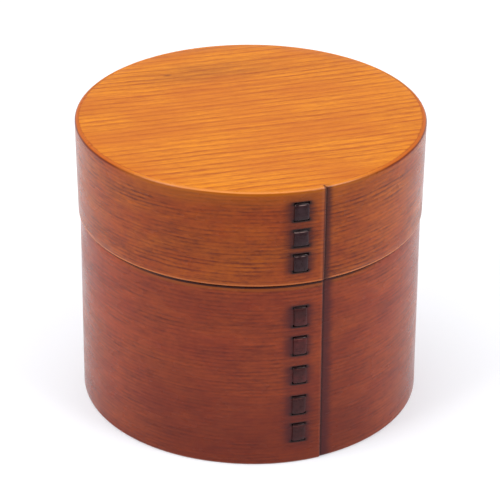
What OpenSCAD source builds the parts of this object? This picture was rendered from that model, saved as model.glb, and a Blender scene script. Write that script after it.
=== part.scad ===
// Round bentwood tea caddy: a lapped and laced body hoop, a lid of the same make that slides
// over a ring standing up out of the body, and a loose inner lid under it.
// Millimetres. +Z is up, the origin is the middle of the foot, and the front faces -Y.

/* [Overall] */
// Outer diameter of the lid at its top edge
lid_top_d = 110; // [96:1:125]
// Height of the closed caddy
total_h = 95; // [88:1:120]
// Height of the lid, which is where the caddy parts
lid_h = 31.6; // [30:0.1:34]

/* [Hoops] */
// How much wider the lid is at its top edge than at its mouth
lid_flare = 0.8; // [0:0.1:1.2]
// How much wider the lid's mouth is than the body's
lid_overhang = 1; // [0.4:0.1:2]
// How much wider the body is at its foot than at its mouth
foot_flare = 0.6; // [0:0.1:1.2]
// Thickness of the body's hoop at its mouth
hoop_t = 2.6; // [2.2:0.1:3.5]
// Radius that rounds the lid's top edge
crown_round = 1; // [0.4:0.1:1.2]
// Radius that rounds the two edges where lid and body meet
mouth_round = 0.5; // [0.2:0.1:0.8]
// Radius that rounds the edge of the foot
foot_round = 0.8; // [0.3:0.1:1]

/* [Lap] */
// Turn of the lid's seam from the front towards the right, in degrees
lid_seam_turn = 24; // [0:0.5:60]
// Turn of the body's seam from the front towards the right, in degrees
body_seam_turn = 24; // [0:0.5:60]
// How far the outer flap stands proud at the seam
lap_step = 0.4; // [0.3:0.05:0.6]
// Angle over which the flap tapers into the round, in degrees
lap_deg = 33; // [28:1:40]

/* [Lacing] */
// Width of the lid's bark strip
lid_strip_w = 4.4; // [3.5:0.1:5.5]
// Width of the body's bark strip
body_strip_w = 4; // [3.5:0.1:5.5]
// Thickness of the bark strip
strip_t = 0.5; // [0.4:0.05:0.6]
// Distance along the surface from the lid's seam to the middle of its strip
lid_strip_setback = 7.7; // [6:0.1:10]
// Distance along the surface from the body's seam to the middle of its strip
body_strip_setback = 7.3; // [6:0.1:10]
// Room that a slit leaves around the strip
slit_gap = 0.2; // [0.1:0.05:0.3]

/* [Boards] */
// Thickness of the lid's top board
top_board_t = 4; // [3:0.5:4]
// Width of the hoop's lip that stays round the top board
lip_w = 1.3; // [1.2:0.1:2]
// Thickness of the bottom board
bottom_board_t = 4; // [3:0.5:5]
// How far the bottom board is set up from the foot
bottom_setup = 2; // [1:0.5:3]

/* [Inner ring and inner lid] */
// Thickness of the ring that the lid slides over
ring_t = 2.2; // [1.8:0.1:3]
// How far the ring stands up out of the body
ring_stand = 14; // [10:0.5:15]
// How far the ring reaches down into the body
ring_reach = 24; // [15:1:30]
// Gap round a sliding fit
slide_gap = 0.2; // [0.15:0.05:0.3]
// Thickness of the inner lid's rim
inner_lid_t = 3; // [2.5:0.5:4]
// Depth of the inner lid's plug in the ring
plug_h = 3; // [2:0.5:4]
// Diameter of the inner lid's knob
knob_d = 18; // [14:1:22]
// Height of the knob above the inner lid
knob_h = 7; // [5:0.5:7.5]

/* [Hidden] */
// Lower and upper end of each stitch, above the lower edge of its own hoop
lid_stitches = [[4.7, 10.1], [13.3, 18.3], [22, 27.3]];
body_stitches = [[8.2, 13.8], [17.9, 23.7], [28.9, 34.2], [39, 44.7], [49, 55.2]];

$fn = 180;
cut = 1;                                   // how far a cutter passes the face it cuts
round_steps = 4;                           // flats that make up a rounded edge

body_h = total_h - lid_h;
lid_top_r = lid_top_d / 2;
lid_mouth_r = lid_top_r - lid_flare / 2;
body_mouth_r = lid_mouth_r - lid_overhang / 2;
body_foot_r = body_mouth_r + foot_flare / 2;

body_bore_r = body_mouth_r - hoop_t;
lid_bore_r = body_bore_r + slide_gap;
top_board_r = lid_top_r - lip_w;
ring_bore_r = body_bore_r - ring_t;
ring_top_z = body_h + ring_stand;
ring_round = 0.6;                          // eases the lid onto the ring

inner_lid_inset = 0.6;                     // keeps its rim clear of the lid's bore
inner_lid_r = body_bore_r - inner_lid_inset;
plug_r = ring_bore_r - slide_gap;
plug_round = 0.8;
peg_d = 6;                                 // tenon of the knob
peg_h = 4;
knob_waist_r = knob_d * 0.3;
knob_waist_h = knob_h * 0.35;
knob_waist_taper = 0.8;
knob_crown_round = knob_h * 0.3;

channel_t = strip_t + 0.1;                 // depth of the channel that takes the strip inside
tail_h = 3;                                // length of the strip's glued ends inside

orange = [0.87, 0.50, 0.23];
russet = [0.57, 0.29, 0.16];
brown = [0.50, 0.24, 0.16];
bark = [0.25, 0.12, 0.10];
pale = [0.78, 0.52, 0.30];

// Points of a quarter round of radius q about [r, z], from one angle to another
function quarter(r, z, q, from, to) =
    [for (i = [0 : round_steps])
        let (a = from + (to - from) * i / round_steps) [r + q * cos(a), z + q * sin(a)]];

// A solid drum, r_low wide at its foot and r_high at its top, with rounded edges
module drum(r_low, r_high, h, q_low, q_high) {
    rotate_extrude()
        polygon(concat([[0, 0]],
                       quarter(r_low - q_low, q_low, q_low, -90, 0),
                       quarter(r_high - q_high, h - q_high, q_high, 0, 90),
                       [[0, h]]));
}

// A drum with the lap's flap on it: the seam faces +X, and the flap lies on the -Y side of it.
// The flap is the same drum moved off centre, so that it leaves the round at lap_deg.
module lapped_drum(r_low, r_high, h, q_low, q_high) {
    off_centre = lap_step / (1 - cos(lap_deg));
    less = off_centre - lap_step;
    drum(r_low, r_high, h, q_low, q_high);
    intersection() {
        translate([off_centre, 0, 0]) drum(r_low - less, r_high - less, h, q_low, q_high);
        translate([0, -2 * r_low, 0]) cube([2 * r_low, 2 * r_low, h]);
    }
}

module lid_drum(grow = 0) {
    lapped_drum(lid_mouth_r + grow, lid_top_r + grow, lid_h, mouth_round, crown_round);
}

module body_drum(grow = 0) {
    lapped_drum(body_foot_r + grow, body_mouth_r + grow, body_h, foot_round, mouth_round);
}

// A block of a lacing's line: w wide, from one height to another and from one radius to another.
// The line's middle is on +X, and at_strip turns it into place.
module lacing_block(w, z_low, z_high, r_in, r_out) {
    translate([r_in, -w / 2, z_low]) cube([r_out - r_in, w, z_high - z_low]);
}

module at_strip(setback) {
    rotate([0, 0, -setback / body_mouth_r * 180 / PI]) children();
}

// Slits for a list of stitches, and the channel that takes the strip's inside lengths
module slits(stitches, strip_w, bore_r, out_r) {
    slit_h = strip_t + 2 * slit_gap;
    channel_w = strip_w + 2 * slit_gap;
    last = stitches[len(stitches) - 1][1];
    for (s = stitches) {
        for (z = s)
            lacing_block(channel_w, z - slit_h / 2, z + slit_h / 2, bore_r - cut, out_r);
    }
    lacing_block(channel_w, stitches[0][0] - slit_h / 2, last + slit_h / 2,
                 bore_r - cut, bore_r + channel_t);
}

// The strip's lengths through and inside the wall; the ends turn back and are glued down
module strip_inside(stitches, strip_w, bore_r, out_r) {
    r_low = bore_r + channel_t - strip_t;
    r_high = bore_r + channel_t;
    last = len(stitches) - 1;
    for (s = stitches) {
        for (z = s)
            lacing_block(strip_w, z - strip_t / 2, z + strip_t / 2, r_low, out_r);
    }
    for (i = [1 : last])
        lacing_block(strip_w, stitches[i - 1][1], stitches[i][0], r_low, r_high);
    lacing_block(strip_w, stitches[0][0], stitches[0][0] + tail_h, r_low, r_high);
    lacing_block(strip_w, stitches[last][1] - tail_h, stitches[last][1], r_low, r_high);
}

// The strip's lengths that show outside
module strip_outside(stitches, strip_w, bore_r, out_r) {
    for (s = stitches)
        lacing_block(strip_w, s[0] - strip_t / 2, s[1] + strip_t / 2, bore_r + hoop_t / 2, out_r);
}

module body_hoop() {
    color(brown)
        rotate([0, 0, body_seam_turn - 90])
            difference() {
                body_drum();
                translate([0, 0, -cut]) cylinder(r = body_bore_r, h = body_h + 2 * cut);
                at_strip(body_strip_setback)
                    slits(body_stitches, body_strip_w, body_bore_r, body_foot_r + 2 * cut);
            }
}

module bottom_board() {
    color(pale)
        translate([0, 0, bottom_setup]) cylinder(r = body_bore_r, h = bottom_board_t);
}

module body_bark_lacing() {
    color(bark)
        rotate([0, 0, body_seam_turn - 90]) {
            difference() {
                intersection() {
                    body_drum(strip_t);
                    at_strip(body_strip_setback)
                        strip_outside(body_stitches, body_strip_w, body_bore_r, body_foot_r + 2 * cut);
                }
                body_drum();
            }
            intersection() {
                body_drum(strip_t);
                at_strip(body_strip_setback)
                    strip_inside(body_stitches, body_strip_w, body_bore_r, body_foot_r + 2 * cut);
            }
        }
}

module inner_ring() {
    color(pale)
        translate([0, 0, body_h - ring_reach])
            difference() {
                drum(body_bore_r, body_bore_r, ring_reach + ring_stand, ring_round, ring_round);
                translate([0, 0, -cut])
                    cylinder(r = ring_bore_r, h = ring_reach + ring_stand + 2 * cut);
            }
}

module inner_lid_board() {
    color(pale)
        translate([0, 0, ring_top_z])
            difference() {
                union() {
                    drum(inner_lid_r, inner_lid_r, inner_lid_t, mouth_round, plug_round);
                    translate([0, 0, -plug_h])
                        drum(plug_r, plug_r, plug_h + inner_lid_t / 2, plug_round, mouth_round);
                }
                translate([0, 0, inner_lid_t - peg_h]) cylinder(d = peg_d, h = peg_h + cut);
            }
}

module inner_lid_knob() {
    color(orange)
        translate([0, 0, ring_top_z + inner_lid_t]) {
            translate([0, 0, -peg_h]) cylinder(d = peg_d, h = peg_h + cut);
            cylinder(r1 = knob_waist_r, r2 = knob_waist_r - knob_waist_taper, h = knob_waist_h);
            translate([0, 0, knob_waist_h])
                drum(knob_d / 2, knob_d / 2, knob_h - knob_waist_h, mouth_round, knob_crown_round);
        }
}

module lid_hoop() {
    color(russet)
        translate([0, 0, body_h])
            rotate([0, 0, lid_seam_turn - 90])
                difference() {
                    lid_drum();
                    translate([0, 0, -cut]) cylinder(r = lid_bore_r, h = lid_h + 2 * cut);
                    translate([0, 0, lid_h - top_board_t]) cylinder(r = top_board_r, h = lid_h);
                    at_strip(lid_strip_setback)
                        slits(lid_stitches, lid_strip_w, lid_bore_r, lid_top_r + 2 * cut);
                }
}

module lid_top_board() {
    color(orange)
        translate([0, 0, total_h - top_board_t]) cylinder(r = top_board_r, h = top_board_t);
}

module lid_bark_lacing() {
    color(bark)
        translate([0, 0, body_h])
            rotate([0, 0, lid_seam_turn - 90]) {
                difference() {
                    intersection() {
                        lid_drum(strip_t);
                        at_strip(lid_strip_setback)
                            strip_outside(lid_stitches, lid_strip_w, lid_bore_r, lid_top_r + 2 * cut);
                    }
                    lid_drum();
                }
                intersection() {
                    lid_drum(strip_t);
                    at_strip(lid_strip_setback)
                        strip_inside(lid_stitches, lid_strip_w, lid_bore_r, lid_top_r + 2 * cut);
                }
            }
}

body_hoop();
bottom_board();
body_bark_lacing();
inner_ring();
inner_lid_board();
inner_lid_knob();
lid_hoop();
lid_top_board();
lid_bark_lacing();
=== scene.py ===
"""A round bentwood tea caddy in wiped lacquer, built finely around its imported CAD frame.

Lengths are in metres. Directions round a hoop are angles from its seam, counter-clockwise seen
from above: the outer flap of the lap ends at the seam, so it covers the last stretch of the turn.
"""

import functools
import math
import operator

import bpy
from mathutils import Euler, Matrix, Vector, noise


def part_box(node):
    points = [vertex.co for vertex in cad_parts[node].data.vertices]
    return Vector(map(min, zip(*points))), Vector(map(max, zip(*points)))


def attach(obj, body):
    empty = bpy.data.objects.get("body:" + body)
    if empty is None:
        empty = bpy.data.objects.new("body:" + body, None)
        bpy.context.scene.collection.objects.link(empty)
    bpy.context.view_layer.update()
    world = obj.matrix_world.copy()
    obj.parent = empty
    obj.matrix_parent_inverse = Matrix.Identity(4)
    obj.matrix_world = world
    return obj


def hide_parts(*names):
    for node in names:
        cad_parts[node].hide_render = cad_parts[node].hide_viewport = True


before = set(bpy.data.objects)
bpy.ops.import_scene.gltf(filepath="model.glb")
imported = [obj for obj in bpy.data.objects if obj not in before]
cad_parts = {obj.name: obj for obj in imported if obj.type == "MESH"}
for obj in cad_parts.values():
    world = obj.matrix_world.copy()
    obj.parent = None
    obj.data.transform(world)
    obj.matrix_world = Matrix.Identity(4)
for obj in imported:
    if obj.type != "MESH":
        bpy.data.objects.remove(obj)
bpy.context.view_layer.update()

MM = 0.001
TURN = 2 * math.pi

# ---------------------------------------------------------------- sizes, from the frame

LID_FOOT, LID_TOP = (corner.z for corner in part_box("lid_hoop"))
BODY_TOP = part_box("body_hoop")[1].z
LID_TOP_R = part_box("lid_hoop")[1].x
BODY_FOOT_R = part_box("body_hoop")[1].x
BODY_BORE_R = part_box("inner_ring")[1].x
TOP_BOARD_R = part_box("lid_top_board")[1].x
TOP_BOARD_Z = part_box("lid_top_board")[0].z
LID_BORE_R = BODY_BORE_R + 0.2 * MM  # the lid slides over the ring

# ---------------------------------------------------------------- sizes of the finer work

SEAM_DEGREES = 24.0  # both seams, turned from the front to the right
LAP_STEP = 0.4 * MM
LAP_ANGLE = math.radians(33)  # over which the flap swells from nothing to the full step
FLAP_ROUND_W, FLAP_ROUND_DROP = 0.3 * MM, 0.2 * MM
GROOVE_W, GROOVE_DEPTH = 0.5 * MM, 0.22 * MM
EASE = 0.2 * MM  # how far the edges inside a hoop are broken
SLIT_GAP = 0.2 * MM
SLIT_H = 0.9 * MM
CHANNEL_T = 0.6 * MM
STRIP_T = 0.5 * MM
STRIP_END = 3.0 * MM  # glued down inside, past the first and last slit
RING_T = 2.2 * MM

# where each stitch starts and ends above its hoop's foot, in mm
LID_STITCHES = [(4.7, 10.1), (13.3, 18.3), (22.0, 27.3)]
BODY_STITCHES = [(8.2, 13.8), (17.9, 23.7), (28.9, 34.2), (39.0, 44.7), (49.0, 55.2)]

# how finely the meshes are divided
ROW_STEP = 2.5 * MM
COLUMN_STEP = math.radians(1.5)
ARC_STEPS = 6
BOARD_RINGS = 12
ON_AXIS = 1e-9


class Hoop:
    """One bent hoop. A pair of heights, radii or rounded edges is for its foot and its top;
    setback is how far the middle of its bark strip stands before the seam."""

    def __init__(self, heights, radii, rounds, bore_r, stitches, strip_w, setback):
        self.low_z, self.high_z = heights
        self.low_r, self.high_r = radii
        self.low_round, self.high_round = rounds
        self.bore_r = bore_r
        self.seam = math.radians(SEAM_DEGREES - 90)
        self.stitches = [(self.low_z + a * MM, self.low_z + b * MM) for a, b in stitches]
        self.strip = TURN - setback / self.high_r
        self.strip_w = strip_w
        self.slit_w = strip_w + 2 * SLIT_GAP

    def radius(self, z):
        """The plain outer radius at a height, without the lap."""
        share = (z - self.low_z) / (self.high_z - self.low_z)
        return self.low_r + (self.high_r - self.low_r) * share

    def slits(self):
        """The lower and upper edge of every slit, from the foot up."""
        middles = [z for stitch in self.stitches for z in stitch]
        return [(z - SLIT_H / 2, z + SLIT_H / 2) for z in middles]


lid = Hoop(heights=(LID_FOOT, LID_TOP), radii=(LID_TOP_R - 0.4 * MM, LID_TOP_R),
           rounds=(0.5 * MM, 1.0 * MM), bore_r=LID_BORE_R,
           stitches=LID_STITCHES, strip_w=4.4 * MM, setback=7.7 * MM)
body = Hoop(heights=(0.0, BODY_TOP), radii=(BODY_FOOT_R, BODY_FOOT_R - 0.3 * MM),
            rounds=(0.8 * MM, 0.5 * MM), bore_r=BODY_BORE_R,
            stitches=BODY_STITCHES, strip_w=4.0 * MM, setback=7.3 * MM)

# ---------------------------------------------------------------- meshes


def new_piece(name, points, faces, sharp=35):
    """A smooth-shaded mesh object; edges that turn by more than sharp degrees stay crisp."""
    mesh = bpy.data.meshes.new(name)
    mesh.from_pydata([tuple(p) for p in points], [], faces)
    mesh.validate()
    mesh.shade_smooth()
    mesh.set_sharp_from_angle(angle=math.radians(sharp))
    piece = bpy.data.objects.new(name, mesh)
    bpy.context.collection.objects.link(piece)
    return piece


def spread(low, high, step):
    """Evenly spaced numbers from low to high, about step apart."""
    count = max(1, round((high - low) / step))
    return [low + (high - low) * i / count for i in range(count + 1)]


def arc(r, z, q, start, end):
    """Points of a quarter round of radius q about (r, z), from one angle in degrees to another."""
    turns = [math.radians(start + (end - start) * i / ARC_STEPS) for i in range(ARC_STEPS + 1)]
    return [(r + q * math.cos(t), z + q * math.sin(t)) for t in turns]


def lap_rise(turn, r):
    """How far the outer face stands out of the round at an angle from the seam: the flap swells
    up to its rounded end, and past the seam the face under it starts in a small groove."""
    rise = 0.0
    if turn > math.pi:
        off_centre = LAP_STEP / (1 - math.cos(LAP_ANGLE))
        to_end = (TURN - turn) * r
        rise = max(0.0, LAP_STEP - off_centre * (1 - math.cos(turn)))
        rise -= FLAP_ROUND_DROP * max(0.0, 1 - to_end / FLAP_ROUND_W) ** 2
    past_seam = turn * r
    return rise - GROOVE_DEPTH * max(0.0, 1 - past_seam / GROOVE_W) ** 2


def hand_planed(turn, z):
    """Slight unevenness of a hoop that was bent and planed by hand."""
    broad = noise.noise(Vector((2.2 * math.cos(turn), 2.2 * math.sin(turn), z / (30 * MM))))
    fine = noise.noise(Vector((6 * math.cos(turn), 6 * math.sin(turn), z / (14 * MM))))
    return 0.06 * MM * broad + 0.012 * MM * fine


def columns(hoop):
    """Angles of the mesh's columns: closer together at the seam and at the edges of the slits."""
    r = hoop.high_r
    near_seam = [0.12, 0.25, 0.5, 0.9, 1.5, 2.2]  # mm
    turns = [d * MM / r for d in [0.0] + near_seam]
    turns += [TURN - d * MM / r for d in [0.02] + near_seam]
    turns += spread(3 * MM / r, TURN - 3 * MM / r, COLUMN_STEP)
    for side in (-1, 1):
        edge = hoop.strip + side * hoop.slit_w / 2 / r
        turns += [edge, edge + side * 0.08 * MM / r]
    turns.sort()
    kept = [turns[0]]
    for turn in turns[1:]:
        if turn - kept[-1] > 0.05 * MM / r:
            kept.append(turn)
    return kept


def hoop_piece(name, hoop, rebate=None):
    """A hoop with its lap, slits and inner channel. rebate is (radius, height) of a board's seat."""
    turns = columns(hoop)
    slits = hoop.slits()
    channel = (slits[0][0], slits[-1][1])
    rows = spread(hoop.low_z + hoop.low_round, hoop.high_z - hoop.high_round, ROW_STEP)
    rows = sorted(rows + [z for slit in slits for z in slit])
    inner_top = rebate[1] if rebate else hoop.high_z
    inner_rows = [z for z in rows if z <= max(channel[1], inner_top - 2 * EASE)]
    inner_foot = [(hoop.bore_r, hoop.low_z + EASE), (hoop.bore_r + EASE, hoop.low_z)]
    half_slit = hoop.slit_w / 2 / hoop.high_r
    half_channel = half_slit + 0.01 * MM / hoop.high_r

    def section(turn):
        """The wall's outline at one angle: radius and height, up the outside, down the inside."""
        lift = lap_rise(turn, hoop.high_r)
        foot = arc(hoop.low_r - hoop.low_round, hoop.low_z + hoop.low_round,
                   hoop.low_round, -90, 0)
        crown = arc(hoop.high_r - hoop.high_round, hoop.high_z - hoop.high_round,
                    hoop.high_round, 0, 90)
        outer = [(p + lift, z) for p, z in foot[:-1]]
        outer += [(hoop.radius(z) + lift + hand_planed(turn, z), z) for z in rows]
        outer += [(p + lift, z) for p, z in crown[1:]]
        if rebate:
            seat_r, seat_z = rebate
            outer += [(seat_r + EASE / 2, hoop.high_z), (seat_r, hoop.high_z - EASE / 2),
                      (seat_r, seat_z)]
        inner = [(hoop.bore_r + EASE, inner_top), (hoop.bore_r, inner_top - EASE)]
        in_channel = abs(turn - hoop.strip) < half_channel
        for z in reversed(inner_rows):
            sunk = CHANNEL_T if in_channel and channel[0] <= z <= channel[1] else 0
            inner.append((hoop.bore_r + sunk, min(z, inner_top - 1.5 * EASE)))
        return outer + inner + inner_foot

    points = []
    for turn in turns:
        way = hoop.seam + turn
        points += [(p * math.cos(way), p * math.sin(way), z) for p, z in section(turn)]
    size = len(points) // len(turns)
    first_out = ARC_STEPS
    first_in = size - 1 - len(inner_foot)

    def at(i, j):
        return (i % len(turns)) * size + j % size

    # each slit is a window through the wall: no outer or inner face, but four faces between them
    windows = set()
    for low, _ in slits:
        for i in range(len(turns) - 1):
            if abs((turns[i] + turns[i + 1]) / 2 - hoop.strip) < half_slit:
                windows.add((i, rows.index(low)))
    left_open = {(i, first_out + k) for i, k in windows}
    left_open |= {(i, first_in - k - 1) for i, k in windows}
    faces = [(at(i, j), at(i + 1, j), at(i + 1, j + 1), at(i, j + 1))
             for i in range(len(turns)) for j in range(size) if (i, j) not in left_open]
    for i, k in windows:
        out_low, out_high = first_out + k, first_out + k + 1
        in_low, in_high = first_in - k, first_in - k - 1
        faces.append((at(i, out_low), at(i + 1, out_low), at(i + 1, in_low), at(i, in_low)))
        faces.append((at(i, in_high), at(i + 1, in_high), at(i + 1, out_high), at(i, out_high)))
        if (i - 1, k) not in windows:
            faces.append((at(i, out_low), at(i, in_low), at(i, in_high), at(i, out_high)))
        if (i + 1, k) not in windows:
            faces.append((at(i + 1, out_low), at(i + 1, out_high),
                          at(i + 1, in_high), at(i + 1, in_low)))
    return new_piece(name, points, faces)


def filleted(path, q, steps=5):
    """A path in a plane with each inner corner replaced by an arc of radius q."""
    result = [Vector(path[0])]
    for before, here, after in zip(path, path[1:], path[2:]):
        here = Vector(here)
        back = (Vector(before) - here).normalized()
        on = (Vector(after) - here).normalized()
        half = back.angle(on) / 2
        reach = q / math.tan(half)
        centre = here + (back + on).normalized() * q / math.sin(half)
        start = here + back * reach - centre
        end = here + on * reach - centre
        sweep = start.angle_signed(end)
        for i in range(steps + 1):
            turned = Matrix.Rotation(-sweep * i / steps, 2) @ start
            result.append(centre + turned)
    result.append(Vector(path[-1]))
    return result


def strip_piece(name, hoop, seed):
    """One bark strip in running stitch: over the wall, in through a slit, and on inside. Each
    stitch bows a little outwards, and has its own width, slant and place across the slits."""
    bow, bow_from, bend_r = 0.16 * MM, 1.4 * MM, 0.42 * MM
    inside_r = hoop.bore_r + CHANNEL_T - STRIP_T / 2 - 0.03 * MM  # just off the channel's floor
    corners = [(inside_r, hoop.stitches[0][0] + STRIP_END)]
    for low, high in hoop.stitches:
        out_r = hoop.radius((low + high) / 2) + lap_rise(hoop.strip, hoop.high_r) + STRIP_T / 2
        corners += [(inside_r, low), (out_r, low), (out_r + bow, low + bow_from),
                    (out_r + bow, high - bow_from), (out_r, high), (inside_r, high)]
    corners.append((inside_r, hoop.stitches[-1][1] - STRIP_END))
    route = filleted(corners, bend_r)
    across = [-1, -0.97, -0.88, -0.7, -0.4, 0, 0.4, 0.7, 0.88, 0.97, 1]
    size = 2 * len(across) - 2
    points = []
    for i, spot in enumerate(route):
        ahead = (route[min(i + 1, len(route) - 1)] - route[max(i - 1, 0)]).normalized()
        out = Vector((ahead.y, -ahead.x))
        near = min(range(len(hoop.stitches)), key=lambda k: abs(sum(hoop.stitches[k]) / 2 - spot.y))
        own = Vector((seed + 3.7 * near, 0.5, spot.y / (9 * MM)))  # this stitch's place in the noise
        half_w = hoop.strip_w / 2 * (1 + 0.09 * noise.noise(own))
        drift = SLIT_GAP * noise.noise(own + Vector((0, 0, 19)))
        slant = 0.05 * noise.noise(own + Vector((0, 7, 0)))
        # across the outer face, then back across the inner one
        for side, places in ((1, across), (-1, across[-2:0:-1])):
            for u in places:
                thick = STRIP_T / 2 * (1 - u ** 6) ** 0.5 * side
                cup = -0.05 * MM * u * u
                r = spot.x + out.x * (thick + cup)
                z = spot.y + out.y * (thick + cup) + slant * u * half_w
                way = hoop.seam + hoop.strip + (u * half_w + drift) / hoop.high_r
                points.append((r * math.cos(way), r * math.sin(way), z))
    last = len(route) - 1
    faces = [tuple(reversed(range(size))), tuple(last * size + j for j in range(size))]
    for i in range(last):
        for j in range(size):
            k = (j + 1) % size
            faces.append((i * size + j, i * size + k, (i + 1) * size + k, (i + 1) * size + j))
    return new_piece(name, points, faces, sharp=60)


def turned_piece(name, profile, closed=False, sides=240):
    """A solid of revolution from (radius, height) points; closed is for a ring's whole section."""
    points, faces, starts = [], [], []
    for r, z in profile:
        starts.append(len(points))
        if r < ON_AXIS:
            points.append((0, 0, z))
        else:
            turns = [TURN * i / sides for i in range(sides)]
            points += [(r * math.cos(t), r * math.sin(t), z) for t in turns]
    pairs = list(zip(range(len(profile)), range(1, len(profile))))
    if closed:
        pairs.append((len(profile) - 1, 0))
    for a, b in pairs:
        for i in range(sides):
            k = (i + 1) % sides
            if profile[a][0] < ON_AXIS:
                faces.append((starts[a], starts[b] + k, starts[b] + i))
            elif profile[b][0] < ON_AXIS:
                faces.append((starts[a] + i, starts[a] + k, starts[b]))
            else:
                faces.append((starts[a] + i, starts[a] + k, starts[b] + k, starts[b] + i))
    return new_piece(name, points, faces)


def board_profile(r, low_z, high_z, q):
    """Profile of a round board with eased edges, with rings across its faces to shade evenly."""
    low_face = [(r * i / BOARD_RINGS, low_z) for i in range(BOARD_RINGS)]
    rim = arc(r - q, low_z + q, q, -90, 0) + arc(r - q, high_z - q, q, 0, 90)
    return low_face + rim + [(p, high_z) for p, _ in reversed(low_face)]


# ---------------------------------------------------------------- shader fields


def paint(red, green, blue):
    """A colour given as it looks on a screen, 0 to 255, in the linear form that shaders use."""
    channels = [c / 255 for c in (red, green, blue)]
    return [c / 12.92 if c <= 0.04045 else ((c + 0.055) / 1.055) ** 2.4 for c in channels] + [1]


class Field:
    """A number that varies over a surface. Arithmetic on it adds the shader's nodes."""

    def __init__(self, tree, socket):
        self.tree, self.socket = tree, socket

    def math(self, operation, *values):
        """A maths node's result on this field and on more fields or numbers."""
        made = self.tree.nodes.new("ShaderNodeMath")
        made.operation = operation
        for slot, value in zip(made.inputs, (self, *values)):
            if isinstance(value, Field):
                self.tree.links.new(value.socket, slot)
            else:
                slot.default_value = value
        return Field(self.tree, made.outputs[0])

    def __add__(self, other):
        return self.math("ADD", other)

    def __sub__(self, other):
        return self.math("SUBTRACT", other)

    def __mul__(self, other):
        return self.math("MULTIPLY", other)

    def __truediv__(self, number):
        return self.math("MULTIPLY", 1 / number)

    def __neg__(self):
        return self.math("MULTIPLY", -1.0)

    def at_least(self, other):
        return self.math("MAXIMUM", other)

    def at_most(self, other):
        return self.math("MINIMUM", other)

    def size(self):
        """The field without its sign."""
        return self.math("ABSOLUTE")

    def rise(self, low, high, start=0.0, end=1.0):
        """Goes smoothly from start to end as the field goes from low to high."""
        made = self.tree.nodes.new("ShaderNodeMapRange")
        made.interpolation_type = "SMOOTHSTEP"
        self.tree.links.new(self.socket, made.inputs[0])
        for slot, value in zip(made.inputs[1:5], (low, high, start, end)):
            slot.default_value = value
        return Field(self.tree, made.outputs[0])


def strongest(fields):
    """The highest of several fields at each point."""
    return functools.reduce(Field.at_least, fields)


def length_of(u, v):
    """The distance that u and v make up together."""
    return (u * u + v * v).math("SQRT")


class Paintbox:
    """A material under construction, with its fields x, y and z in metres."""

    def __init__(self, name):
        self.material = bpy.data.materials.new(name)
        self.material.use_nodes = True
        self.tree = self.material.node_tree
        self.surface = self.tree.nodes["Principled BSDF"]
        place = self.tree.nodes.new("ShaderNodeTexCoord").outputs["Object"]
        split = self.tree.nodes.new("ShaderNodeSeparateXYZ")
        self.tree.links.new(place, split.inputs[0])
        self.x, self.y, self.z = (Field(self.tree, out) for out in split.outputs)

    def point(self, *fields):
        """Three fields or numbers as one vector."""
        made = self.tree.nodes.new("ShaderNodeCombineXYZ")
        for slot, value in zip(made.inputs, fields):
            if isinstance(value, Field):
                self.tree.links.new(value.socket, slot)
            else:
                slot.default_value = value
        return made.outputs[0]

    def noise(self, u, v, w, detail=3.0, rough=0.5):
        """Cloudy noise from about 0.2 to 0.8, one cloud to a unit of u, v and w. Where w is a
        plain number, it picks one layer of the noise."""
        made = self.tree.nodes.new("ShaderNodeTexNoise")
        made.inputs["Scale"].default_value = 1.0
        made.inputs["Detail"].default_value = detail
        made.inputs["Roughness"].default_value = rough
        self.tree.links.new(self.point(u, v, w), made.inputs["Vector"])
        return Field(self.tree, made.outputs["Fac"])

    def mix(self, share, first, second):
        """A colour: first where share is 0, second where it is 1."""
        made = self.tree.nodes.new("ShaderNodeMix")
        made.data_type = "RGBA"
        self.tree.links.new(share.socket, made.inputs[0])
        for slot, value in zip((made.inputs[6], made.inputs[7]), (first, second)):
            if isinstance(value, bpy.types.NodeSocket):
                self.tree.links.new(value, slot)
            else:
                slot.default_value = value
        return made.outputs[2]

    def finish(self, colour, roughness, relief, depth, specular=0.3):
        """Sets the surface: its colour, its gloss, and fine relief of a depth in metres."""
        self.tree.links.new(colour, self.surface.inputs["Base Color"])
        self.tree.links.new(roughness.socket, self.surface.inputs["Roughness"])
        bump = self.tree.nodes.new("ShaderNodeBump")
        bump.inputs["Strength"].default_value = 1.0
        bump.inputs["Distance"].default_value = depth
        self.tree.links.new(relief.socket, bump.inputs["Height"])
        self.tree.links.new(bump.outputs[0], self.surface.inputs["Normal"])
        self.surface.inputs["Specular IOR Level"].default_value = specular
        self.surface.inputs["IOR"].default_value = 1.5
        return self.material


def growth_rings(box, along, across, spacing, wander, dark_part, faint):
    """Dark latewood lines along the grain: each darkens slowly across and ends abruptly. dark_part
    is the share of a ring that is dark, and faint is the strength of the faintest lines."""
    drift = box.noise(along / (60 * MM), across / (9 * MM), 1.3, 2.0)
    count = across / spacing + (drift - 0.5) * wander
    part = count.math("FRACT")
    line = part.rise(0.9 - dark_part, 0.9) * part.rise(0.91, 1.0, 1.0, 0.0)
    strength = box.noise(along / (45 * MM), count * 0.6, 5.1, 2.0).rise(0.3, 0.62, faint, 1.0)
    return line * strength


# ---------------------------------------------------------------- boards


def knot_marks(du, dv, streak):
    """How dark a small knot and the streaky haze beside it are. du and dv are the way from the
    knot along and across the grain, and streak makes a layer of streaks."""
    spot = length_of(du * 0.3 ** 0.5, dv).rise(0.2 * MM, 1.4 * MM, 0.75, 0.0)
    haze = length_of((du - 12 * MM) * 0.1 ** 0.5, dv).rise(1 * MM, 12 * MM, 1.0, 0.0)
    ragged = streak(9.2, 16 * MM, 2.4 * MM).rise(0.32, 0.68)
    return spot.at_least(haze * (ragged * 0.6 + 0.4) * 0.42)


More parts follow.
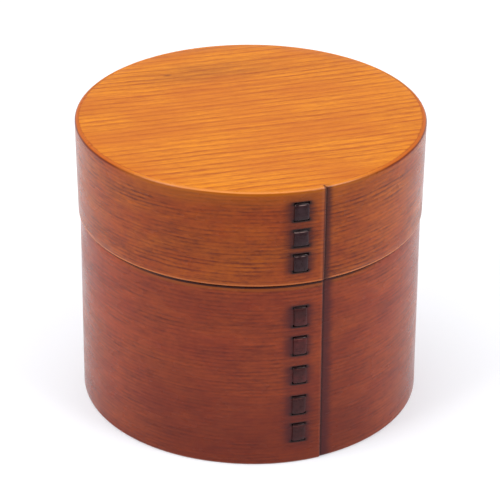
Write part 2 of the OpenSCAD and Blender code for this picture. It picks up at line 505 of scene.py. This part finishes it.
def board_wood(name, light, dark, cloud, tilt, knot=None, rim=None, bent=None):
    """A straight-grained board. tilt is the grain's direction in degrees from +X, knot a small
    knot's place, and rim the radius where a dark line shows round part of it. bent is the radius
    of a board that is bent into a ring, with its grain running round."""
    box = Paintbox(name)
    c, s = math.cos(math.radians(tilt)), math.sin(math.radians(tilt))

    def with_grain(x, y):
        return x * c + y * s, y * c - x * s

    along, across = with_grain(box.x, box.y)
    across = across - along * along * 0.34  # the lines bow a little
    if bent:
        along = box.y.math("ARCTAN2", box.x) * bent
        across = box.z
    if knot:
        du, dv = with_grain(box.x - knot[0], box.y - knot[1])
        across = across + length_of(du * 0.18 ** 0.5, dv).rise(0.0, 6 * MM, 0.9 * MM, 0.0)

    def streak(pick, length, width):
        return box.noise(along / length, across / width, pick, 3.0, 0.6)

    rings = growth_rings(box, along, across, 3.1 * MM, wander=1.4, dark_part=0.5, faint=0.6)
    fine = streak(2.4, 7 * MM, 0.7 * MM).rise(0.34, 0.70)
    flecks = streak(7.7, 1.8 * MM, 0.9 * MM).rise(0.36, 0.72)
    bands = streak(6.6, 80 * MM, 6 * MM).rise(0.35, 0.68)
    clouds = box.noise(along / (30 * MM), across / (16 * MM), 3.3, 2.0).rise(0.40, 0.66)
    grain = rings * 0.46 + fine * 0.32 + flecks * 0.16 + bands * 0.18
    colour = box.mix(grain.at_most(1.0), light, dark)
    colour = box.mix(clouds * 0.5, colour, cloud)
    if knot:
        colour = box.mix(knot_marks(du, dv, streak), colour, paint(120, 56, 22))
    if rim:
        worn = box.noise(box.x / (1.6 * MM), box.y / (1.6 * MM), 4.0, 2.0)
        away = length_of(box.x, box.y) + (worn - 0.55) * (1.8 * MM)
        line = away.rise(rim - 0.6 * MM, rim, 0.0, 0.4)
        line = line * box.y.rise(-0.94 * rim, -0.80 * rim) * box.y.rise(0.1 * rim, 0.6 * rim, 1.0, 0.0)
        colour = box.mix(line, colour, paint(140, 52, 18))
    rough = box.noise(along / (20 * MM), across / (6 * MM), 8.0).rise(0.3, 0.7, 0.30, 0.40)
    relief = rings * -0.5 + fine * -0.3
    return box.finish(colour, rough, relief, 0.012 * MM)


# ---------------------------------------------------------------- hoops


def edge_paint(at_top, colour, share, solid, fades, ragged=0.8, side=None):
    """A band of colour along a hoop's top or foot, solid to one distance and gone at another (mm).
    share is how strong it is, and side, if it isn't all round, is front, sides or back."""
    return {"at_top": at_top, "paint": colour, "share": share, "solid": solid * MM,
            "fades": fades * MM, "ragged": ragged * MM, "side": side}


class HoopPaintbox(Paintbox):
    """A bent board's material, whose grain runs round the hoop. It adds the fields turn, the angle
    from the seam; along and to_end, the way from the seam and to it; up, the way across the grain,
    which sways a little; and fibres and ragged, unevenness of about -0.3 to 0.3 along the grain."""

    def __init__(self, name, hoop):
        super().__init__(name)
        self.hoop = hoop
        c, s = math.cos(-hoop.seam), math.sin(-hoop.seam)
        seam_x = self.x * c - self.y * s
        seam_y = self.x * s + self.y * c
        self.turn = (-seam_y).math("ARCTAN2", -seam_x) + math.pi
        self.along = self.turn * hoop.high_r
        self.to_end = (-self.turn + TURN) * hoop.high_r
        sway = self.noise(self.along / (70 * MM), self.z / (50 * MM), 0.4, 1.0) - 0.5
        self.up = self.z + sway * (2.4 * MM)
        self.fibres = self.layer(5 * MM, 0.8 * MM, 7.1) - 0.5
        self.ragged = self.layer(9 * MM, 1.4 * MM, 2.2) - 0.5

    def layer(self, length, width, pick, detail=3.0, rough=0.5):
        """One layer of noise, drawn out along the grain."""
        return self.noise(self.along / length, self.up / width, pick, detail, rough)

    def edges(self, colour, bands):
        """The two rims and the foot: lacquer rubbed thin where the hoop's edge shows, a painted
        highlight along the lid's front crown, painted shade on the body's mouth under the lid, and
        painted shade over the front and towards the body's foot.
        """
        facing = self.y * (-1 / self.hoop.high_r)
        sides = {"front": facing.rise(0.60, 0.93), "back": facing.rise(-0.7, -0.1, 1.0, 0.0),
                 "sides": facing.rise(0.60, 0.93, 1.0, 0.0) * facing.rise(-0.7, -0.1)}
        for band in bands:
            if band["at_top"]:
                gap = -self.z + self.hoop.high_z
            else:
                gap = self.z - self.hoop.low_z
            gap = gap + self.ragged * band["ragged"]
            share = gap.rise(band["solid"], band["fades"], band["share"], 0.0)
            if band["side"]:
                share = share * sides[band["side"]]
            colour = self.mix(share, colour, band["paint"])
        return colour

    def flap_end(self, colour, paints):
        """The flap's last stretch: a paler line, and painted shade on its rounded end."""
        dark = paints["flap_dark"]
        colour = self.mix(self.to_end.rise(dark, dark * 2, 0.12, 0.0), colour, paints["flap"])
        # painted shade on the flap's rounded end, in the colour of the lacquer in the seam
        return self.mix(self.to_end.rise(dark * 0.4, dark, 0.75, 0.0), colour, paints["pooled_and_shade"])

    def pooled_and_shade(self, colour, paints):
        """Lacquer pooling in the step of the seam and bled along the grain beside the stitches, and
        black painted shade in the mouths of the slits.
        """
        hoop, shade_w = self.hoop, paints["seam_shade_w"]

        # a shade and a black line past the seam, fainter on the hoop's rounded lip
        past = self.along + self.fibres * (1.2 * MM)
        swell = self.noise(self.z / (7 * MM), 0.0, 3.0, 2.0).rise(0.25, 0.75, 0.65, 1.35)
        below_lip = (-self.z + hoop.high_z).rise(0.15 * MM, 0.6 * MM, 0.3, 1.0)
        seam_shade = (past - swell * (shade_w * 0.35)).rise(0.0, shade_w * 0.8, 0.85, 0.0)
        seam_shade = seam_shade * below_lip
        step = (past + self.along).rise(0.3 * MM, 2.0 * MM, 0.5, 0.0) * below_lip

        # a darker band beside each stitch, fading up, down and along the grain, and black painted
        # shade at each slit
        off_strip = (self.turn - hoop.strip) * hoop.high_r
        half_w = hoop.strip_w * 0.5
        bled = (off_strip + 0.4 * MM).size() + self.fibres * (2.6 * MM)
        near_strip = bled.rise(half_w + 0.2 * MM, half_w + 4.0 * MM, 0.9, 0.0)
        across_cut = (off_strip.size() + self.fibres * (1.2 * MM)).rise(
            half_w, half_w + 1.6 * MM, 0.95, 0.0)
        spans, cuts = [], []
        for low, high in hoop.stitches:
            middle, half = (low + high) / 2, (high - low) / 2
            reach = (self.z - middle).size() - half + self.ragged * (1.0 * MM)
            spans.append(reach.rise(-0.4 * MM, 1.5 * MM, 1.0, 0.34)
                         * reach.rise(1.0 * MM, 4.2 * MM, 1.0, 0.0))
            # painted shade in the mouth of each slit, a little past the strip on both sides
            for mouth in (low - 0.3 * MM, high + 0.1 * MM):
                cuts.append((self.z - mouth).size().rise(0.38 * MM, 0.8 * MM, 1.0, 0.0))
        beside = functools.reduce(operator.add, spans).at_most(1.0)
        colour = self.mix(seam_shade.at_least(near_strip * beside), colour, paints["pooled_and_shade"])
        return self.mix(step.at_least(strongest(cuts) * across_cut), colour, paints["black"])


def hoop_wood(name, hoop, paints):
    """A bent board: fine grain and clouds of lacquer, then its rims, its lap and its lacing."""
    box = HoopPaintbox(name, hoop)
    rings = growth_rings(box, box.along, box.up, 1.3 * MM, wander=2.0, dark_part=0.6, faint=0.45)
    fine = box.layer(7 * MM, 0.95 * MM, 1.1, 4.0, 0.62).rise(0.34, 0.70)
    bands = box.layer(50 * MM, 5 * MM, 9.4).rise(0.36, 0.66)
    lines_show = box.layer(22 * MM, 7 * MM, 2.0).rise(0.36, 0.62, 0.55, 1.0)
    flecks = box.layer(1.6 * MM, 0.9 * MM, 3.3, 3.0, 0.6).rise(0.36, 0.72)
    clouds = box.layer(14 * MM, 8 * MM, 4.6, 4.0, 0.65).rise(0.36, 0.64)
    glow = box.layer(30 * MM, 13 * MM, 6.2, 3.0).rise(0.44, 0.66)
    grain = (rings * 0.52 + fine * 0.56) * lines_show + flecks * 0.28 + bands * 0.14
    grain = grain * paints["grain"]
    colour = box.mix(clouds * 0.6, paints["light"], paints["tint"])
    colour = box.mix(glow * 0.45, colour, paints["glow"])
    colour = box.mix(grain.at_most(1.0), colour, paints["dark"])
    colour = box.edges(colour, paints["edges"])
    colour = box.flap_end(colour, paints)
    colour = box.pooled_and_shade(colour, paints)
    rough = box.layer(18 * MM, 7 * MM, 1.0).rise(0.3, 0.7, 0.22, 0.30)
    relief = rings * -0.4 + fine * -0.4
    return box.finish(colour, rough, relief, 0.006 * MM, specular=0.22)


# ---------------------------------------------------------------- bark


def bark(name, hoop, base, worn, shine, uneven):
    """Lacquered cherry bark: fine lenticels across the strip, a painted highlight at each stitch's top
    bend and down its right edge, painted shade down its left edge and black painted shade where it
    goes into a slit, and some stitches darker than others."""
    box = Paintbox(name)
    around = box.y.math("ARCTAN2", box.x) * hoop.high_r
    aside = around - (hoop.seam + hoop.strip - TURN) * hoop.high_r
    half = hoop.strip_w / 2
    lenticels = box.noise(around / (3.5 * MM), box.z / (0.5 * MM), 1.0, 3.0, 0.6)
    mottle = box.noise(around / (1.6 * MM), box.z / (1.8 * MM), 5.0, 3.0)
    share = lenticels.rise(0.45, 0.72) * 0.4 + mottle.rise(0.42, 0.66) * 0.5
    colour = box.mix(share.at_most(1.0), base, worn)
    # a painted highlight down the strip's right edge, in the worn colour
    colour = box.mix(aside.rise(half - 0.7 * MM, half - 0.2 * MM, 0.0, 0.3), colour, worn)
    # painted shade down the strip's left edge
    colour = box.mix(aside.rise(0.3 * MM - half, 0.9 * MM - half, 0.6, 0.0), colour, base)
    # a painted highlight along each stitch's top bend, in the shine colour
    bends = strongest([(box.z - (high - 0.32 * MM)).size().rise(0.05 * MM, 0.2 * MM, 0.75, 0.0)
                       for _, high in hoop.stitches])
    tips = aside.rise(0.2 * half, 0.8 * half, 1.0, 0.25)
    colour = box.mix(bends * mottle.rise(0.25, 0.6) * tips, colour, shine)
    darker = box.noise(0.0, box.z / (9 * MM), 12.6, 1.0).rise(0.42, 0.58, 0.0, uneven)
    colour = box.mix(darker, colour, paint(34, 10, 12))
    # black painted shade where each stitch goes into its slit
    tucked = strongest([(box.z - end).size().rise(0.2 * MM, 0.42 * MM, 0.8, 0.0)
                        for low, high in hoop.stitches
                        for end in (low - 0.15 * MM, high + 0.15 * MM)])
    colour = box.mix(tucked, colour, paint(14, 4, 6))
    rough = mottle.rise(0.3, 0.7, 0.24, 0.40)
    return box.finish(colour, rough, lenticels, 0.03 * MM, specular=0.2)


# ---------------------------------------------------------------- the finishes

CEDAR = (paint(222, 164, 104), paint(176, 112, 62), paint(200, 138, 84))

LID_PAINTS = {
    "light": paint(180, 84, 12), "tint": paint(156, 56, 14), "glow": paint(184, 96, 12),
    "dark": paint(102, 36, 10), "grain": 0.95,
    "flap": paint(190, 120, 90), "flap_dark": 0.95 * MM,
    "pooled_and_shade": paint(62, 16, 16), "black": paint(22, 5, 6), "seam_shade_w": 2.6 * MM,
    "edges": [edge_paint(True, paint(104, 36, 16), 0.85, 0.7, 1.1, 0.3),
              edge_paint(True, paint(174, 92, 14), 0.9, 1.0, 1.6, side="front"),
              edge_paint(True, paint(174, 92, 14), 0.5, 1.4, 7.0, side="front"),
              # a painted highlight along the front of the crown
              edge_paint(True, paint(224, 138, 62), 0.9, 0.32, 0.42, 0.1, side="front"),
              edge_paint(True, paint(190, 98, 32), 0.8, 0.2, 0.4, 0.2, side="sides"),
              edge_paint(True, paint(210, 124, 24), 0.9, 0.08, 0.16, 0.1, side="front"),
              edge_paint(True, paint(205, 118, 24), 0.9, 0.3, 0.5, 0.2, side="back"),
              edge_paint(False, paint(204, 112, 52), 0.9, 0.5, 0.9, 0.2),
              # painted shade over the front of the hoop
              edge_paint(False, paint(92, 30, 8), 0.20, 70.0, 80.0, side="front")]}
BODY_PAINTS = {
    "light": paint(166, 68, 25), "tint": paint(140, 45, 22), "glow": paint(174, 78, 25),
    "dark": paint(88, 24, 11), "grain": 0.78,
    "flap": paint(176, 96, 64), "flap_dark": 0.5 * MM,
    "pooled_and_shade": paint(66, 16, 20), "black": paint(24, 5, 8), "seam_shade_w": 4.0 * MM,
    "edges": [edge_paint(True, paint(160, 82, 16), 0.7, 1.3, 2.4, side="front"),
              # painted shade on the body's mouth, under the lid's edge, darkest at the front
              edge_paint(True, paint(40, 10, 4), 0.9, 0.3, 0.6, 0.15),
              edge_paint(True, paint(18, 3, 1), 1.0, 0.8, 1.0, 0.15, side="front"),
              # painted shade over the front of the hoop
              edge_paint(False, paint(84, 24, 10), 0.34, 70.0, 80.0, side="front"),
              # painted shade that grows towards the foot, all round and more on the front
              edge_paint(False, paint(84, 22, 8), 0.24, 4.0, 46.0, 5.0),
              edge_paint(False, paint(84, 20, 6), 0.28, 4.0, 40.0, 5.0, side="front"),
              edge_paint(False, paint(160, 72, 28), 0.35, 0.3, 0.9, 0.4)]}

top_wood = board_wood("top_wood", paint(215, 130, 19), paint(154, 68, 10), paint(180, 90, 17),
                      tilt=16, knot=(-27 * MM, 28.7 * MM), rim=TOP_BOARD_R)
inside_wood = board_wood("inside_wood", *CEDAR, tilt=80)
ring_wood = board_wood("ring_wood", *CEDAR, tilt=0, bent=BODY_BORE_R)
lid_wood = hoop_wood("lid_wood", lid, LID_PAINTS)
body_wood = hoop_wood("body_wood", body, BODY_PAINTS)
lid_bark = bark("lid_bark", lid, base=paint(40, 15, 20), worn=paint(58, 36, 42),
                shine=paint(150, 124, 118), uneven=0.15)
body_bark = bark("body_bark", body, base=paint(62, 18, 18), worn=paint(90, 34, 34),
                 shine=paint(120, 70, 64), uneven=0.55)

# ---------------------------------------------------------------- the caddy


def dress(piece, material, body_name, slot, *nodes):
    """Gives a piece its material and ties it to the frame."""
    piece.data.materials.append(material)
    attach(piece, body_name)
    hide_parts(*nodes)


dress(hoop_piece("lid_hoop_bent", lid, (TOP_BOARD_R, TOP_BOARD_Z)), lid_wood,
      "lid", "lid_wood", "lid_hoop")
dress(hoop_piece("body_hoop_bent", body), body_wood, "body", "body_wood", "body_hoop")
dress(turned_piece("lid_board", board_profile(TOP_BOARD_R, TOP_BOARD_Z, LID_TOP, 0.12 * MM)),
      top_wood, "lid", "top_wood", "lid_top_board")
dress(strip_piece("lid_strip", lid, 1.0), lid_bark, "lid", "lid_bark", "lid_bark_lacing")
dress(strip_piece("body_strip", body, 5.0), body_bark, "body", "body_bark", "body_bark_lacing")

foot_low, foot_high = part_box("bottom_board")
dress(turned_piece("bottom_round", board_profile(foot_high.x, foot_low.z, foot_high.z, 0.4 * MM)),
      inside_wood, "body", "inside_wood", "bottom_board")

ring_low, ring_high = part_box("inner_ring")
ring_bore = ring_high.x - RING_T
ring_section = (arc(ring_high.x - 0.4 * MM, ring_low.z + 0.4 * MM, 0.4 * MM, -90, 0)
                + arc(ring_high.x - 0.8 * MM, ring_high.z - 0.8 * MM, 0.8 * MM, 0, 90)
                + arc(ring_bore + 0.5 * MM, ring_high.z - 0.5 * MM, 0.5 * MM, 90, 180)
                + arc(ring_bore + 0.4 * MM, ring_low.z + 0.4 * MM, 0.4 * MM, 180, 270))
dress(turned_piece("ring_bent", ring_section, closed=True), ring_wood,
      "body", "inside_wood", "inner_ring")

# the inner lid's plug goes into the ring, and its wider upper part rests on the ring's rim
inner_low, inner_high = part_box("inner_lid_board")
seat_z = ring_high.z
plug_r = ring_bore - 0.2 * MM
plug_profile = board_profile(plug_r, inner_low.z, seat_z, 0.8 * MM)[:BOARD_RINGS + ARC_STEPS + 1]
inner_profile = (plug_profile + [(plug_r, seat_z)]
                 + arc(inner_high.x - 0.5 * MM, seat_z + 0.5 * MM, 0.5 * MM, -90, 0)
                 + arc(inner_high.x - 0.9 * MM, inner_high.z - 0.9 * MM, 0.9 * MM, 0, 90)
                 + [(inner_high.x * i / BOARD_RINGS, inner_high.z)
                    for i in reversed(range(BOARD_RINGS))])
dress(turned_piece("inner_lid_round", inner_profile), inside_wood,
      "inner_lid", "inside_wood", "inner_lid_board")

# the knob: a peg into the board, a hollowed waist, a rounded head and a nearly flat top
knob_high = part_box("inner_lid_knob")[1]
knob_r, knob_h = knob_high.x, knob_high.z - inner_high.z
peg_r, peg_h = 2.9 * MM, 3.9 * MM
waist = [(5.6 * MM, 0.0), (5.0 * MM, 0.5 * MM), (4.7 * MM, 1.2 * MM), (4.9 * MM, 2.0 * MM)]
knob_profile = [(0.0, -peg_h), (peg_r, -peg_h), (peg_r, 0.0)] + waist
knob_profile += arc(knob_r - 1.3 * MM, knob_h - 2.9 * MM, 1.3 * MM, -90, 0)
knob_profile += arc(knob_r - 2.2 * MM, knob_h - 2.2 * MM, 2.2 * MM, 0, 78)
knob_profile += [(knob_r * 0.45, knob_h - 0.02 * MM), (knob_r * 0.2, knob_h), (0.0, knob_h)]
dress(turned_piece("inner_lid_pull", [(r, z + inner_high.z) for r, z in knob_profile], sides=96),
      inside_wood, "inner_lid", "inside_wood", "inner_lid_knob")

# ---------------------------------------------------------------- studio


def grey(value):
    """A grey that lights and paper are set to, in linear light."""
    return (value, value, value, 1)


def paper():
    """White paper that glows a little, so shadows stay faint; it falls off gently in front."""
    box = Paintbox("floor_paper")
    near = box.y.rise(-0.4, -0.08)
    box.tree.links.new(box.mix(near, grey(0.3), (0.64, 0.65, 0.67, 1)),
                       box.surface.inputs["Base Color"])
    box.tree.links.new(box.mix(near, grey(0.42), (0.96, 0.99, 1.05, 1)),
                       box.surface.inputs["Emission Color"])
    box.surface.inputs["Emission Strength"].default_value = 0.30
    box.surface.inputs["Roughness"].default_value = 0.9
    box.surface.inputs["Specular IOR Level"].default_value = 0.0
    return box.material


def studio_world():
    """Soft light from all round, dimmer half way up and brighter behind the caddy."""
    world = bpy.data.worlds.new("studio")
    world.use_nodes = True
    tree = world.node_tree
    background = tree.nodes["Background"]
    split = tree.nodes.new("ShaderNodeSeparateXYZ")
    tree.links.new(tree.nodes.new("ShaderNodeTexCoord").outputs["Generated"], split.inputs[0])
    _, depth, height = split.outputs
    ramp = tree.nodes.new("ShaderNodeValToRGB")
    tree.links.new(height, ramp.inputs[0])
    horizon, zenith = ramp.color_ramp.elements
    horizon.position, zenith.position = 0.0, 1.0
    horizon.color, zenith.color = grey(0.8), grey(0.7)
    for place, value in ((0.16, 0.7), (0.34, 0.24), (0.7, 0.26), (0.9, 0.6)):
        ramp.color_ramp.elements.new(place).color = grey(value)
    tree.links.new(ramp.outputs[0], background.inputs[0])
    strength = tree.nodes.new("ShaderNodeMapRange")
    for slot, value in zip(strength.inputs[1:5], (-1.0, 1.0, 0.31, 1.25)):
        slot.default_value = value
    tree.links.new(depth, strength.inputs[0])
    tree.links.new(strength.outputs[0], background.inputs[1])
    return world


def softbox(name, place, aim, size, watts):
    """A square area light that faces a point."""
    lamp = bpy.data.lights.new(name, "AREA")
    lamp.shape = "SQUARE"
    lamp.size = size
    lamp.energy = watts
    made = bpy.data.objects.new(name, lamp)
    made.location = place
    made.rotation_mode = "QUATERNION"
    made.rotation_quaternion = (Vector(aim) - Vector(place)).to_track_quat("-Z", "Y")
    bpy.context.collection.objects.link(made)


def front_camera(aim, distance, above, pitch, roll, lens):
    """A camera in front of a point and above it; pitch and roll turn it off the point. The angles
    are in degrees, and lens is in mm."""
    made = bpy.data.objects.new("camera", bpy.data.cameras.new("camera"))
    bpy.context.collection.objects.link(made)
    tall = math.radians(above)
    made.location = aim + distance * Vector((0, -math.cos(tall), math.sin(tall)))
    level = (aim - made.location).to_track_quat("-Z", "Y")
    lean = Euler((math.radians(pitch), 0, math.radians(roll))).to_quaternion()
    made.rotation_mode = "QUATERNION"
    made.rotation_quaternion = level @ lean
    made.data.sensor_width = 36
    made.data.lens = lens
    made.data.clip_start = 0.01
    made.data.clip_end = 50
    return made


FLOOR_HALF = 4.0
floor_corners = [(x * FLOOR_HALF, y * FLOOR_HALF, 0) for x, y in ((-1, -1), (1, -1), (1, 1), (-1, 1))]
floor = new_piece("floor", floor_corners, [(0, 1, 2, 3)])
floor.data.materials.append(paper())

centre = Vector((0, 0, LID_TOP / 2))
softbox("overhead", (-0.1, 0.15, 1.3), centre, size=1.0, watts=9)
softbox("left", (-0.85, -0.52, 0.85), centre, size=0.6, watts=10)
softbox("right", (0.85, -0.52, 0.85), centre, size=0.6, watts=10)

scene = bpy.context.scene
scene.world = studio_world()
scene.camera = front_camera(centre, distance=0.7746, above=28.165, pitch=-0.0576, roll=0.3455,
                            lens=173.3)
scene.view_settings.view_transform = "Standard"
